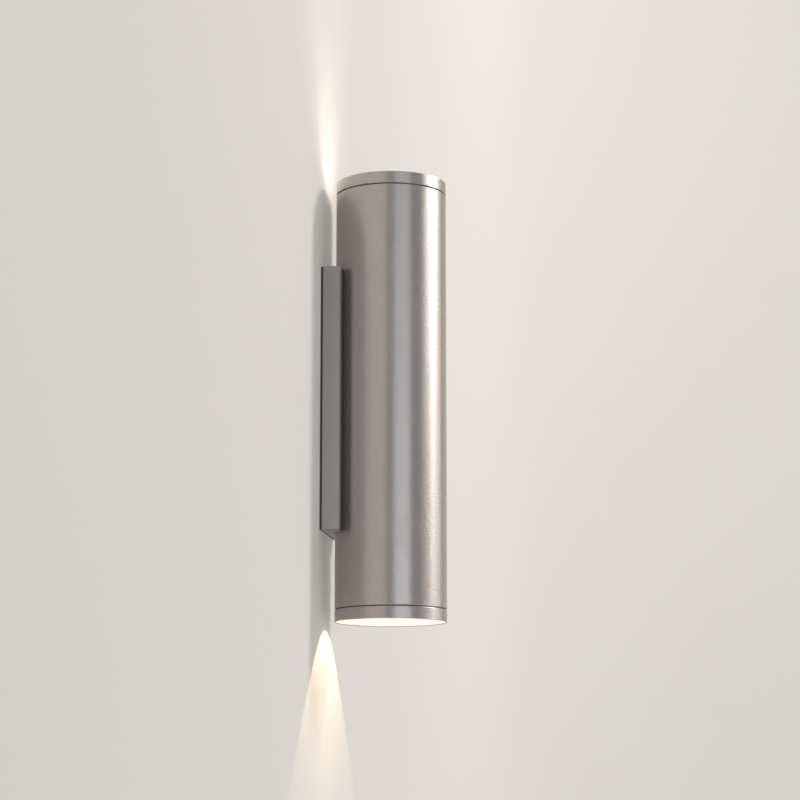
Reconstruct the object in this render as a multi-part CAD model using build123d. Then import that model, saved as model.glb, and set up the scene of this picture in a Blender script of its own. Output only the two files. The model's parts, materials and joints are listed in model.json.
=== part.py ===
from build123d import *
import os
from math import asin, degrees, hypot, radians, tan

# Tube wall light that shines up and down the wall.
#
# A brushed tube stands upright in front of the wall, cradled in the saddle of a slim back box. An end ring
# screws into each end of the tube and holds a frosted lens. Behind each lens a twist-lock reflector lamp
# stands in a ceramic holder, on a bracket that is screwed to the inside of the tube.
#
# Millimetres. The wall is the plane Y = 0 with the room at -Y, +Z is up, +X is to the right as seen from the
# room, and the origin is the middle of the wall-screw pattern, on the wall.

over = 1.0  # how far a cutter runs past what it cuts

# --- Tube ---
overall_length = 300.0  # tube and both end rings, end to end
tube_diameter = 75.0
tube_wall = 2.0
tube_gap = 6.0  # from the wall to the back of the tube
tube_rise = 2.0  # middle of the tube above the middle of the back box
edge_break = 0.3  # chamfer on turned edges

# --- End rings, lenses and seals ---
ring_height = 8.0  # visible height of an end ring
joint_gap = 0.7  # dark groove between a ring and the tube, filled by the joint seal
joint_seal_depth = 0.8  # joint seal below the outer surface
joint_seal_width = 0.85
rim_width = 1.0  # face of the ring that shows round the lens
rim_lip = 0.4  # thickness of the rolled lip that holds the lens
lip_grip = 0.25  # lens under the lip, on the radius
lens_clearance = 0.1
lens_thickness = 3.0
lens_seal_thickness = 0.8
lens_seal_width = 3.0
spigot_length = 8.5  # threaded spigot of a ring inside the tube
spigot_wall = 2.4
thread_clearance = 0.05

# --- Back box ---
box_width = 62.0
box_height = 178.0
box_depth = 11.5
box_wall = 1.5
box_edge_radius = 0.6
saddle_wall = 1.5
saddle_clearance = 0.05
window_width = 32.0
window_height = 70.0
window_corner = 4.0
hook_depth = 1.5  # thickness of the ledges that hook behind the bracket's tongues
hook_height = 4.0
hook_clearance = 0.2

# --- Wall gasket and bracket ---
gasket_thickness = 1.5
gasket_width = 3.0
gasket_inset = 0.4
bracket_thickness = 1.5
bracket_clearance = 0.3
tab_width = 7.0
tab_depth = 8.8  # how far the top tabs stand out from the wall
tab_inset = 1.0  # from the bracket's side edge to a tab
slot_width = 4.5
slot_length = 10.0
slot_inset = 13.0  # from the bracket's end to the middle of a wall-screw slot

# --- Cable entry ---
entry_drop = 18.0  # cable entry below the middle of the box
grommet_bore = 10.0
grommet_wall = 3.0
grommet_flange = 2.5
grommet_flange_thickness = 2.0
grommet_clearance = 0.05

# --- Terminal block ---
block_poles = 3
pole_pitch = 8.0
block_height = 20.0
block_depth = 17.0
block_rise = 14.0  # middle of the block above the middle of the box
block_foot_width = 6.0
block_foot_height = 9.0
block_foot_thickness = 2.5
supply_hole_diameter = 3.8
lead_hole_depth = 6.0
lead_hole_play = 0.35
terminal_screw_diameter = 3.2
terminal_screw_length = 5.2
terminal_screw_sink = 0.6
terminal_screw_inset = 5.0
block_edge_radius = 1.0

# --- Screws ---
m3_diameter = 3.0
m3_head = 5.5
m3_head_height = 1.8
m4_diameter = 4.0
m4_head = 7.0
m4_head_height = 2.0
screw_play = 0.2  # radial play of a screw in a plain hole
thread_play = 0.05  # radial play of a screw in its own thread
head_round_share = 0.4  # rounding of a head, as a share of its height
recess_width = 0.6
recess_reach_share = 0.3  # arm of a cross recess, as a share of the head's width
recess_depth_share = 0.6  # depth of a cross recess, as a share of the head's height
cover_screw_length = 7.0
cover_head_height = 1.3
cover_screw_inset = 5.0  # from the rim of the back box
tube_screw_length = 7.0
tube_screw_inset = 8.0  # from the window's edge to the nearer tube screw
tube_screw_pitch = 14.0
holder_screw_length = 9.0
block_screw_length = 3.6

# --- Earth point ---
earth_drop = 30.0
earth_inset = 6.5  # from the bracket's side edge
lug_thickness = 0.8
lug_ring = 8.4
lug_barrel = 3.4
lug_barrel_length = 5.0
lug_neck = 4.5
washer_diameter = 8.0
washer_thickness = 0.8
earth_screw_length = 2.9

# --- Lamp bracket, holder and lamp ---
bracket_sheet = 1.5
shelf_radius = 21.0
shelf_bridge_width = 26.0
foot_span = 42.0  # width of the curved foot, measured round the tube in degrees
foot_clearance = 0.1
foot_margin = 3.0  # from the window's edge to the foot
foot_height = 31.0
lead_hole_diameter = 5.0
holder_diameter = 34.0
holder_height = 20.0
holder_screw_circle = 24.4
holder_counterbore = 6.4
holder_seat = 6.0  # ceramic under the head of a holder screw
pin_count = 2
pin_spacing = 10.0
pin_head_diameter = 5.0
pin_head_thickness = 2.7
pin_neck_diameter = 3.1
pin_neck_length = 3.8
twist_angle = 20.0  # lamp from locked to free
keyhole_play = 0.3
slot_play = 0.25
holder_edge = 0.8  # chamfer round the holder's cap
holder_cap = 3.0
holder_cavity_depth = 6.0
cavity_play = 0.6
contact_width = 4.4
contact_thickness = 1.2
lamp_gap = 0.3
lamp_setback = 20.8  # front of the lamp behind the lens
lamp_length = 54.0
lamp_diameter = 50.0
lamp_base_diameter = 26.0
lamp_base_length = 11.0
lamp_band = 14.0  # straight part at the lamp's full diameter
lamp_rim = 2.5
optic_sink = 1.0
optic_thickness = 3.0
optic_clearance = 0.1
fin_count = 24
fin_slot_width = 1.2
fin_slot_depth = 2.2
fin_inset = 1.0  # lower end of the finned part above the lamp's base
fin_share = 0.8  # part of the cone's length that a slot takes up

# --- Leads ---
lead_diameter = 1.8
lead_share = 0.45  # part of the shorter run that an arc takes up
lead_entry_depth = 10.0  # middle of the wire holes from the wall
lead_rise = 13.5  # of a lamp lead over the terminal block
lead_lean = 2.5  # of that rise away from the wall
lead_bow = 8.5  # of a lower lamp lead in front of the block
lead_end = 14.0  # straight end of a lamp lead at its holder
earth_lead_rise = 9.0  # straight part over the earth lug
earth_lead_end = 6.0  # straight part under the block

# --- Worked out from the above ---
tube_radius = tube_diameter / 2
tube_bore = tube_radius - tube_wall
axis_y = -(tube_gap + tube_radius)
end_z = overall_length / 2
ring_base_z = end_z - ring_height
tube_end_z = ring_base_z - joint_gap
spigot_radius = tube_bore - thread_clearance
ring_bore = spigot_radius - spigot_wall
lip_radius = tube_radius - rim_width
lens_radius = lip_radius + lip_grip
pocket_radius = lens_radius + lens_clearance
lens_front_z = end_z - rim_lip
lens_back_z = lens_front_z - lens_thickness
shoulder_z = lens_back_z - lens_seal_thickness

front_y = -(gasket_thickness + box_depth)
cavity_y = front_y + box_wall
saddle_inner = tube_radius + saddle_clearance
saddle_outer = saddle_inner + saddle_wall
saddle_back_y = axis_y + saddle_outer
half_width = box_width / 2
half_height = box_height / 2
inner_width = half_width - box_wall
inner_height = half_height - box_wall

gasket_outer = (half_width - gasket_inset, half_height - gasket_inset)
gasket_inner = (gasket_outer[0] - gasket_width, gasket_outer[1] - gasket_width)
plate_width = gasket_inner[0] - bracket_clearance
plate_height = gasket_inner[1] - bracket_clearance
plate_y = -bracket_thickness
tab_x = plate_width - tab_inset - tab_width / 2
slot_z = plate_height - slot_inset
entry_z = -entry_drop
grommet_radius = grommet_bore / 2 + grommet_wall
entry_radius = grommet_radius + grommet_clearance

block_width = block_poles * pole_pitch
block_low_z = block_rise - block_height / 2
block_high_z = block_rise + block_height / 2
block_front_y = plate_y - block_depth
foot_x = (block_width + block_foot_width) / 2
lead_y = -lead_entry_depth

earth_x = plate_width - earth_inset
earth_z = -earth_drop
lug_barrel_z = earth_z + lug_ring / 2 + lug_neck

window_half = window_height / 2
foot_low = window_half + foot_margin
tube_screw_heights = [window_half + tube_screw_inset + i * tube_screw_pitch for i in range(2)]
lamp_front_z = lens_back_z - lamp_setback
lamp_base_z = lamp_front_z - lamp_length
holder_top_z = lamp_base_z - lamp_gap
holder_base_z = holder_top_z - holder_height
shelf_height = holder_base_z - bracket_sheet
foot_outer = tube_bore - foot_clearance
foot_inner = foot_outer - bracket_sheet
holder_radius = holder_diameter / 2
pin_circle = pin_spacing / 2

os.makedirs("parts", exist_ok=True)


def block(x_range, y_range, z_range):
    """A box between two values on each axis."""
    size = [abs(high - low) for low, high in (x_range, y_range, z_range)]
    middle = [(low + high) / 2 for low, high in (x_range, y_range, z_range)]
    return Pos(*middle) * Box(*size)


def rod(radius, length, z=0.0):
    """An upright cylinder standing on the height z."""
    return Pos(0, 0, z + length / 2) * Cylinder(radius, length)


def rod_y(radius, x, z, y_from, y_to):
    """A cylinder square to the wall, between two distances from it."""
    return Pos(x, (y_from + y_to) / 2, z) * Rot(90, 0, 0) * Cylinder(radius, abs(y_to - y_from))


def ring(inner, outer, low, high):
    """A plain turned ring about the Z axis."""
    return rod(outer, high - low, low) - rod(inner, high - low + 2 * over, low - over)


def turned(points):
    """A solid of revolution about the Z axis, from (radius, height) points."""
    outline = Polyline(*[(radius, 0, height) for radius, height in points], close=True)
    return revolve(make_face(outline), Axis.Z, 360)


def in_tube(part, end):
    """Places a piece drawn about the tube's own middle at the upper (1) or lower (-1) end."""
    turn = Rot(0, 0 if end > 0 else 180, 0)
    return Pos(0, axis_y, tube_rise) * turn * part


def both_ways(distance):
    return (-distance, distance)


def write(name, solids):
    """Writes one node, whether it is one solid or a group of separate ones."""
    group = solids if isinstance(solids, list) else [solids]
    bodies = [solid for piece in group for solid in piece.solids()]
    export_step(bodies[0] if len(bodies) == 1 else Compound(bodies), f"parts/{name}.step")
    print(name, "solids", len(bodies), "volume", round(sum(body.volume for body in bodies), 1))


def screw(diameter, length, head, head_height, sunk=False):
    """A cross-head screw along -Z with the underside of its head at Z = 0.

    A sunk head is a cone whose flat top is at Z = head_height and whose point is the shank.
    """
    if sunk:
        cap = Pos(0, 0, head_height / 2) * Cone(diameter / 2, head / 2, head_height)
    else:
        cap = rod(head / 2, head_height)
        cap = fillet(cap.edges().group_by(Axis.Z)[-1], head_height * head_round_share)
    body = cap + rod(diameter / 2, length, -length)
    arm = head * recess_reach_share
    floor = head_height * (1 - recess_depth_share)
    for x, y in ((arm, recess_width / 2), (recess_width / 2, arm)):
        body -= block(both_ways(x), both_ways(y), (floor, head_height + over))
    return body


def into_wall(part, x, y, z):
    """Turns a screw drawn along -Z so that it points at the wall, its head in the room."""
    return Pos(x, y, z) * Rot(90, 0, 0) * part


def into_room(part, x, y, z):
    """Turns a screw drawn along -Z so that it points into the room, its head towards the wall."""
    return Pos(x, y, z) * Rot(-90, 0, 0) * part


def window_cut(y_range):
    """The cable window through the saddle and the back of the tube, about the tube's middle."""
    shape = block(both_ways(window_width / 2), y_range, both_ways(window_half))
    return Pos(0, 0, tube_rise) * fillet(shape.edges().filter_by(Axis.Y), window_corner)


def tube_screw_places():
    return [tube_rise + end * height for end in (1, -1) for height in tube_screw_heights]


# --- Wall side ---


def slot(z):
    """An upright wall-screw slot through the bracket."""
    straight = (slot_length - slot_width) / 2
    through = (plate_y - over, over)
    shape = block(both_ways(slot_width / 2), through, (z - straight, z + straight))
    for end in (-straight, straight):
        shape += rod_y(slot_width / 2, 0, z + end, *through)
    return shape


def wall_bracket():
    """Folded steel plate with two tapped tabs at the top and two hook tongues at the bottom."""
    plate = block(both_ways(plate_width), (plate_y, 0), both_ways(plate_height))
    through = (plate_y - over, over)
    tapped = m3_diameter / 2 + thread_play
    tab_low = plate_height - bracket_thickness
    tongue_y = plate_y - bracket_thickness
    tongue_low = -(inner_height - hook_clearance)
    for side in (-1, 1):
        across = (side * tab_x - tab_width / 2, side * tab_x + tab_width / 2)
        plate += block(across, (-tab_depth, plate_y), (tab_low, plate_height))
        plate += block(across, (tongue_y, plate_y), (tongue_low, tongue_low + 2 * hook_height))
    for z in (slot_z, -slot_z):
        plate -= slot(z)
    plate -= rod_y(entry_radius, 0, entry_z, *through)
    plate -= rod_y(m4_diameter / 2 + thread_play, earth_x, earth_z, *through)
    for side in (-1, 1):
        plate -= rod_y(tapped, side * foot_x, block_rise, *through)
        tab_hole = rod(tapped, bracket_thickness + 2 * over, tab_low - over)
        plate -= Pos(side * tab_x, cover_screw_y(), 0) * tab_hole
    return plate


def cover_screw_y():
    """Where the cover screws stand in the box's depth."""
    return -(gasket_thickness + cover_screw_inset)


def wall_gasket():
    """Foam frame between the rim of the back box and the wall."""
    outer = block(both_ways(gasket_outer[0]), (-gasket_thickness, 0), both_ways(gasket_outer[1]))
    through = (-gasket_thickness - over, over)
    inner = block(both_ways(gasket_inner[0]), through, both_ways(gasket_inner[1]))
    return outer - inner


def back_box():
    """Drawn cover, open at the back, with a concave saddle that the tube sits in."""
    outer = block(both_ways(half_width), (front_y, -gasket_thickness), both_ways(half_height))
    front_edges = outer.edges().group_by(Axis.Y)[0] + outer.edges().filter_by(Axis.Y)
    outer = fillet(front_edges, min(box_edge_radius, 0.8 * box_wall))
    cavity = block(both_ways(inner_width), (cavity_y, over), both_ways(inner_height))
    within = block(both_ways(inner_width), (cavity_y, -gasket_thickness), both_ways(inner_height))
    on_axis = Pos(0, axis_y, 0)
    shell = outer - cavity
    shell += on_axis * ring(saddle_inner, saddle_outer, -half_height, half_height) & within
    shell -= on_axis * rod(saddle_inner, 2 * box_height, -box_height)
    shell -= window_cut((axis_y, 0))
    ledge_y = plate_y - bracket_thickness - hook_clearance
    for side in (-1, 1):
        across = (side * (tab_x - tab_width / 2), side * inner_width)
        upright = (-inner_height, hook_height - inner_height)
        shell += block(across, (ledge_y - hook_depth, ledge_y), upright)
        shell -= Pos(side * tab_x, cover_screw_y(), half_height) * countersink()
    for z in tube_screw_places():
        shell -= rod_y(m4_diameter / 2 + screw_play, 0, z, axis_y, 0)
    return shell


def countersink():
    """Hole for a cover screw, with its mouth at Z = 0."""
    head = m3_head / 2 + screw_play
    shank = m3_diameter / 2 + screw_play
    cone = Pos(0, 0, -cover_head_height / 2) * Cone(shank, head, cover_head_height)
    return cone + rod(shank, box_wall + over, -box_wall - over) + rod(head, over)


def cable_grommet():
    """Bush that lines the cable entry, flush with the wall."""
    sleeve = rod_y(grommet_radius, 0, entry_z, plate_y, 0)
    flange_y = plate_y - grommet_flange_thickness
    flange = rod_y(entry_radius + grommet_flange, 0, entry_z, flange_y, plate_y)
    return sleeve + flange - rod_y(grommet_bore / 2, 0, entry_z, flange_y - over, over)


def terminal_block():
    """Moulded block with a screw foot at each side, wire holes above and below, screw wells in front."""
    body = block(both_ways(block_width / 2), (block_front_y, plate_y), (block_low_z, block_high_z))
    body = fillet(body.edges().group_by(Axis.Y)[0], block_edge_radius)
    foot_half = foot_x + block_foot_width / 2
    foot_z = (block_rise - block_foot_height / 2, block_rise + block_foot_height / 2)
    body += block(both_ways(foot_half), (plate_y - block_foot_thickness, plate_y), foot_z)
    for side in (-1, 1):
        body -= rod_y(m3_diameter / 2 + screw_play, side * foot_x, block_rise, block_front_y, over)
    for x in pole_places():
        body -= Pos(x, lead_y, block_low_z) * rod(supply_hole_diameter / 2, lead_hole_depth)
        for side in (-1, 1):
            hole = rod(lead_diameter / 2 + lead_hole_play, lead_hole_depth)
            body -= Pos(x + side * lead_diameter, lead_y, block_high_z - lead_hole_depth) * hole
    well = terminal_screw_diameter / 2 + thread_play
    for x, z in terminal_screw_places():
        body -= rod_y(well, x, z, block_front_y - over, terminal_well_y())
    return body


def pole_places():
    return [(i - (block_poles - 1) / 2) * pole_pitch for i in range(block_poles)]


def terminal_screw_places():
    heights = (block_low_z + terminal_screw_inset, block_high_z - terminal_screw_inset)
    return [(x, z) for x in pole_places() for z in heights]


def terminal_well_y():
    """Bottom of a clamp-screw well."""
    return block_front_y + terminal_screw_sink + terminal_screw_length


def terminal_screws():
    """Slotted clamp screws, two for each pole."""
    top_y = block_front_y + terminal_screw_sink
    made = []
    for x, z in terminal_screw_places():
        pin = rod_y(terminal_screw_diameter / 2, x, z, top_y, terminal_well_y())
        across = (x - terminal_screw_diameter, x + terminal_screw_diameter)
        upright = (z - recess_width / 2, z + recess_width / 2)
        made.append(pin - block(across, (top_y - over, top_y + over), upright))
    return made


def earth_lug():
    """Ring terminal with its crimp barrel upwards."""
    back_y, front = plate_y, plate_y - lug_thickness
    lug = rod_y(lug_ring / 2, earth_x, earth_z, front, back_y)
    neck_x = (earth_x - lug_barrel / 2, earth_x + lug_barrel / 2)
    lug += block(neck_x, (front, back_y), (earth_z, lug_barrel_z + lug_barrel_length / 2))
    barrel = rod(lug_barrel / 2, lug_barrel_length, lug_barrel_z)
    lug += Pos(earth_x, plate_y - lug_barrel / 2, 0) * barrel
    return lug - rod_y(m4_diameter / 2 + screw_play, earth_x, earth_z, front - over, back_y + over)


def earth_washer():
    back_y = plate_y - lug_thickness
    front = back_y - washer_thickness
    disc = rod_y(washer_diameter / 2, earth_x, earth_z, front, back_y)
    return disc - rod_y(m4_diameter / 2 + screw_play, earth_x, earth_z, front - over, back_y + over)


# --- Pieces at each end, drawn for the upper end about the tube's own middle ---


def tube_body():
    """The main tube with its cable window and screw holes at the back."""
    half = tube_end_z
    tube = ring(tube_bore, tube_radius, -half, half)
    outer_edges = [e for e in tube.edges().filter_by(GeomType.CIRCLE) if e.radius > tube_radius - 0.01]
    tube = chamfer(outer_edges, min(edge_break, 0.4 * tube_wall))
    tube = Pos(0, axis_y, tube_rise) * tube
    tube -= window_cut((axis_y, 0))
    for z in tube_screw_places():
        tube -= rod_y(m4_diameter / 2 + screw_play, 0, z, axis_y, 0)
    return tube


def end_ring():
    """Turned ring: rolled lip and lens pocket outside, threaded spigot inside the tube."""
    edge = edge_break
    spigot_end = tube_end_z - spigot_length
    return turned(
        [
            (ring_bore, spigot_end),
            (spigot_radius - edge, spigot_end),
            (spigot_radius, spigot_end + edge),
            (spigot_radius, ring_base_z),
            (tube_radius - edge, ring_base_z),
            (tube_radius, ring_base_z + edge),
            (tube_radius, end_z - edge),
            (tube_radius - edge, end_z),
            (lip_radius, end_z),
            (lip_radius, lens_front_z),
            (pocket_radius, lens_front_z),
            (pocket_radius, shoulder_z),
            (ring_bore, shoulder_z),
        ]
    )


def lens():
    """Frosted disc with its edge under the ring's lip."""
    disc = rod(lens_radius, lens_thickness, lens_back_z)
    return chamfer(disc.edges().group_by(Axis.Z)[0], min(edge_break, 0.2 * lens_thickness))


def lens_seal():
    outer = pocket_radius - lens_clearance
    return ring(outer - lens_seal_width, outer, shoulder_z, lens_back_z)


def joint_seal():
    """Flat seal in the groove between the ring and the end of the tube."""
    outer = tube_radius - joint_seal_depth
    return ring(outer - joint_seal_width, outer, tube_end_z, ring_base_z)


def lamp_bracket():
    """Sheet bracket: a foot curved to the tube's bore and a shelf for the lamp holder."""
    half_span = foot_span / 2
    foot_ends = min(foot_low, shelf_height), max(foot_low + foot_height, holder_base_z)
    foot = ring(foot_inner, foot_outer, *foot_ends)
    far = 2 * foot_outer
    spread = far * tan(radians(half_span))
    wedge = make_face(Polyline((0, 0), (-spread, far), (spread, far), close=True))
    foot = foot & extrude(wedge, overall_length)
    reach = foot_inner + bracket_sheet / 2
    bridge = block(both_ways(shelf_bridge_width / 2), (0, reach), (shelf_height, holder_base_z))
    shelf = rod(shelf_radius, bracket_sheet, shelf_height) + bridge
    body = (shelf & rod(reach, bracket_sheet, shelf_height)) + foot
    through = (bracket_sheet + 2 * over, shelf_height - over)
    for x, y in pin_places():
        body -= Pos(x, y, 0) * rod(lead_hole_diameter / 2, *through)
    for x, y in holder_screw_spots():
        body -= Pos(x, y, 0) * rod(m3_diameter / 2 + thread_play, *through)
    for height in tube_screw_heights:
        body -= rod_y(m4_diameter / 2 + thread_play, 0, height, 0, tube_radius)
    return body


def pin_places():
    """Where the lamp's locked pins stand, with the holder's leads in line under them."""
    return [(side * pin_circle, 0) for side in (-1, 1)]


def holder_screw_spots():
    return [(0, side * holder_screw_circle / 2) for side in (-1, 1)]


def lamp_holder():
    """Ceramic twist-lock holder: two keyhole slots in its cap over a ring-shaped cavity."""
    body = rod(holder_radius, holder_height, holder_base_z)
    body = chamfer(body.edges().group_by(Axis.Z)[-1], holder_edge)
    cap_z = holder_top_z - holder_cap
    cavity = ring(
        pin_circle - pin_head_diameter / 2 - cavity_play,
        pin_circle + pin_head_diameter / 2 + cavity_play,
        cap_z - holder_cavity_depth,
        cap_z,
    )
    body -= cavity
    for i in range(pin_count):
        body -= keyhole(i * 360 / pin_count, cap_z)
    for x, y in holder_screw_spots():
        body -= Pos(x, y, 0) * rod(m3_diameter / 2 + screw_play, holder_height, holder_base_z)
        well = rod(holder_counterbore / 2, holder_height, holder_base_z + holder_seat)
        body -= Pos(x, y, 0) * well
    return body


def keyhole(start, cap_z):
    """Slot for one pin: narrow from the locked place, with a round hole at the free end."""
    height = holder_cap + over
    half = pin_neck_diameter / 2 + slot_play
    arc = Edge.make_circle(pin_circle, start_angle=start, end_angle=start + twist_angle)
    track = ring(pin_circle - half, pin_circle + half, cap_z, cap_z + height)
    corners = [(0, 0)] + [tuple(arc.position_at(share) * 3)[:2] for share in (0, 0.5, 1)]
    cut = track & extrude(make_face(Polyline(*corners, close=True)), holder_top_z + height)
    free = pin_head_diameter / 2 + keyhole_play
    for angle, radius in ((start, half), (start + twist_angle, free)):
        cut += Rot(0, 0, angle) * Pos(pin_circle, 0, 0) * rod(radius, height, cap_z)
    return cut


def holder_contacts():
    """Spring contacts on the floor of the holder's cavity, under the pins."""
    floor = holder_top_z - holder_cap - holder_cavity_depth
    across = both_ways(contact_width / 2)
    pad = block(across, across, (floor, floor + contact_thickness))
    return [Pos(x, y, 0) * pad for x, y in pin_places()]


def lamp_body():
    """Finned lamp housing with a pocket for its optic."""
    radius = lamp_diameter / 2
    base = lamp_base_diameter / 2
    band_z = lamp_front_z - lamp_band
    pocket = radius - lamp_rim
    optic_back = lamp_front_z - optic_sink - optic_thickness
    body = turned(
        [
            (0, lamp_base_z),
            (base, lamp_base_z),
            (base, lamp_base_z + lamp_base_length),
            (radius, band_z),
            (radius, lamp_front_z - edge_break),
            (radius - edge_break, lamp_front_z),
            (pocket, lamp_front_z),
            (pocket, optic_back),
            (0, optic_back),
        ]
    )
    low = lamp_base_z + lamp_base_length + fin_inset
    slant = hypot(radius - base, band_z - low)
    cutter = Box(2 * fin_slot_depth, fin_slot_width, slant * fin_share)
    cutter = Rot(0, degrees(asin((radius - base) / slant)), 0) * cutter
    cutter = Pos((radius + base) / 2, 0, (low + band_z) / 2) * cutter
    for i in range(fin_count):
        body -= Rot(0, 0, i * 360 / fin_count) * cutter
    return body


def lamp_optic():
    radius = lamp_diameter / 2 - lamp_rim - optic_clearance
    return rod(radius, optic_thickness, lamp_front_z - optic_sink - optic_thickness)


def lamp_pins():
    """Two headed pins under the lamp's base."""
    neck_z = lamp_base_z - pin_neck_length
    pin = rod(pin_neck_diameter / 2, pin_neck_length, neck_z)
    pin += rod(pin_head_diameter / 2, pin_head_thickness, neck_z - pin_head_thickness)
    return [Pos(x, y, 0) * pin for x, y in pin_places()]


# --- Leads ---


def lead(points):
    """A round lead along straight runs joined by arcs, with the arcs' radii taken from the runs."""
    runs = [Vector(*b) - Vector(*a) for a, b in zip(points, points[1:])]
    radii = []
    for before, after in zip(runs, runs[1:]):
        shorter = min(before.length, after.length)
        radii.append(lead_share * shorter / tan(radians(before.get_angle(after) / 2)))
    path = FilletPolyline(*points, radius=radii)
    section = Plane(origin=path @ 0, z_dir=path % 0) * Circle(lead_diameter / 2)
    solid = sweep(section, path=path)
    print("lead radii", [round(r, 1) for r in radii], "section", round(solid.volume / path.length, 2))
    return solid


def upper_lamp_leads():
    """From the outer wire holes, over the block, to the upper holder."""
    seat_z = tube_rise + holder_base_z
    made = []
    for side in (-1, 1):
        x = side * (pole_pitch + lead_diameter)
        made.append(
            lead(
                [
                    (x, lead_y, block_high_z - lead_hole_depth),
                    (x, lead_y, block_high_z),
                    (x, lead_y - lead_lean, block_high_z + lead_rise),
                    (side * pin_circle, axis_y, seat_z - lead_end),
                    (side * pin_circle, axis_y, seat_z),
                ]
            )
        )
    return made


def lower_lamp_leads():
    """From the inner wire holes, over and down the front of the block, to the lower holder."""
    seat_z = tube_rise - holder_base_z
    made = []
    for side in (-1, 1):
        x = side * (pole_pitch - lead_diameter)
        made.append(
            lead(
                [
                    (x, lead_y, block_high_z - lead_hole_depth),
                    (x, lead_y, block_high_z),
                    (x, lead_y - lead_lean, block_high_z + lead_rise),
                    (x, block_front_y - lead_bow, block_high_z + 0.75 * lead_rise),
                    (x, block_front_y - 1.5 * lead_bow, block_low_z),
                    ((x + side * pin_circle) / 2, axis_y + lead_bow / 2, seat_z + 3 * lead_end),
                    (side * pin_circle, axis_y, seat_z + 1.3 * lead_end),
                    (side * pin_circle, axis_y, seat_z),
                ]
            )
        )
    return made


def earth_lead():
    """From the earth lug, through the window, to the lower wire hole of the right-hand pole."""
    start_z = lug_barrel_z + lug_barrel_length
    start_y = plate_y - lug_barrel / 2
    x = pole_places()[-1]
    return lead(
        [
            (earth_x, start_y, start_z),
            (earth_x, start_y, start_z + earth_lead_rise),
            (x, lead_y, block_low_z - earth_lead_end),
            (x, lead_y, block_low_z + lead_hole_depth),
        ]
    )


def main():
    write("wall_bracket", wall_bracket())
    write("wall_gasket", wall_gasket())
    write("back_box", back_box())
    write("tube_body", tube_body())
    write("cable_grommet", cable_grommet())
    write("terminal_block", terminal_block())
    write("terminal_screws", terminal_screws())
    write("earth_lug", earth_lug())
    write("earth_washer", earth_washer())
    earth_head_y = plate_y - lug_thickness - washer_thickness
    earth_screw = screw(m4_diameter, earth_screw_length, m4_head, m4_head_height)
    write("earth_screw", into_wall(earth_screw, earth_x, earth_head_y, earth_z))
    block_screw = screw(m3_diameter, block_screw_length, m3_head, m3_head_height)
    foot_y = plate_y - block_foot_thickness
    write("block_screws", [into_wall(block_screw, side * foot_x, foot_y, block_rise) for side in (-1, 1)])
    cover_screw = screw(m3_diameter, cover_screw_length, m3_head, cover_head_height, sunk=True)
    seat_z = half_height - cover_head_height
    write("cover_screws", [Pos(side * tab_x, cover_screw_y(), seat_z) * cover_screw for side in (-1, 1)])
    tube_screw = screw(m4_diameter, tube_screw_length, m4_head, m4_head_height)
    write("tube_screws", [into_room(tube_screw, 0, saddle_back_y, z) for z in tube_screw_places()])
    holder_screw = screw(m3_diameter, holder_screw_length, m3_head, m3_head_height)
    head_z = holder_base_z + holder_seat
    holder_screws = [Pos(x, y, head_z) * holder_screw for x, y in holder_screw_spots()]
    per_end = {
        "end_ring": end_ring(),
        "lens": lens(),
        "lens_seal": lens_seal(),
        "joint_seal": joint_seal(),
        "lamp_bracket": lamp_bracket(),
        "lamp_holder": lamp_holder(),
        "holder_contacts": holder_contacts(),
        "holder_screws": holder_screws,
        "lamp_body": lamp_body(),
        "lamp_optic": lamp_optic(),
        "lamp_pins": lamp_pins(),
    }
    for end, name in ((1, "upper"), (-1, "lower")):
        for piece, made in per_end.items():
            group = made if isinstance(made, list) else [made]
            write(f"{name}_{piece}", [in_tube(solid, end) for solid in group])
    write("upper_lamp_leads", upper_lamp_leads())
    write("lower_lamp_leads", lower_lamp_leads())
    write("earth_lead", earth_lead())


main()
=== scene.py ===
"""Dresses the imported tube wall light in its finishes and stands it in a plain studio.

The wall is the plane y = 0 with the room at -y, and the tube stands upright at y = -43.5 mm. Lengths in the
classes are in millimetres and become metres as a mesh is made.
"""

import json
import logging
import math
from dataclasses import dataclass
from enum import Enum
from typing import Any, Mapping, Sequence

import bpy
import numpy as np
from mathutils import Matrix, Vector


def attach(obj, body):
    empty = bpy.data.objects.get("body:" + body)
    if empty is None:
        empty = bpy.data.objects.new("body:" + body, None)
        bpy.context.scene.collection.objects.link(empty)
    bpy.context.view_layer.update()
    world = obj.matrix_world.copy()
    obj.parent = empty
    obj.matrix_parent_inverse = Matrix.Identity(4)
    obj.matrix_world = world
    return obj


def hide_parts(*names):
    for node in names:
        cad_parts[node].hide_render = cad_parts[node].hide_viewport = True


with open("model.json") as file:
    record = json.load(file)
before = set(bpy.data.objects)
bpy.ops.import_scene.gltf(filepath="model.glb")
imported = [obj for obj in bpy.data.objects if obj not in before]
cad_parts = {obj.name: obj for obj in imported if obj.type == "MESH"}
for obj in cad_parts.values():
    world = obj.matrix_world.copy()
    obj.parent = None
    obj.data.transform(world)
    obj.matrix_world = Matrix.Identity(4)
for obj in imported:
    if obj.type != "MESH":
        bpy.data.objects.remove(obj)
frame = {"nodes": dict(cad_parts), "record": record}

LOG = logging.getLogger("tube_wall_light")
MM = 0.001
AXIS_Y = -43.5
TUBE_RISE = 2.0
SHARP_ANGLE = math.radians(40)
Colour = tuple[float, float, float]


class End(Enum):
    """The two ends of the tube, with the way each one faces."""

    UPPER = 1
    LOWER = -1

    @property
    def label(self) -> str:
        """The prefix of this end's nodes and bodies."""
        return self.name.lower()


class Brush(Enum):
    """Which way the lines of a brushed surface run."""

    ROUND_TUBE = "round the tube's axis"
    UPRIGHT = "up and down"


# --- Shader maths ---


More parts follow.
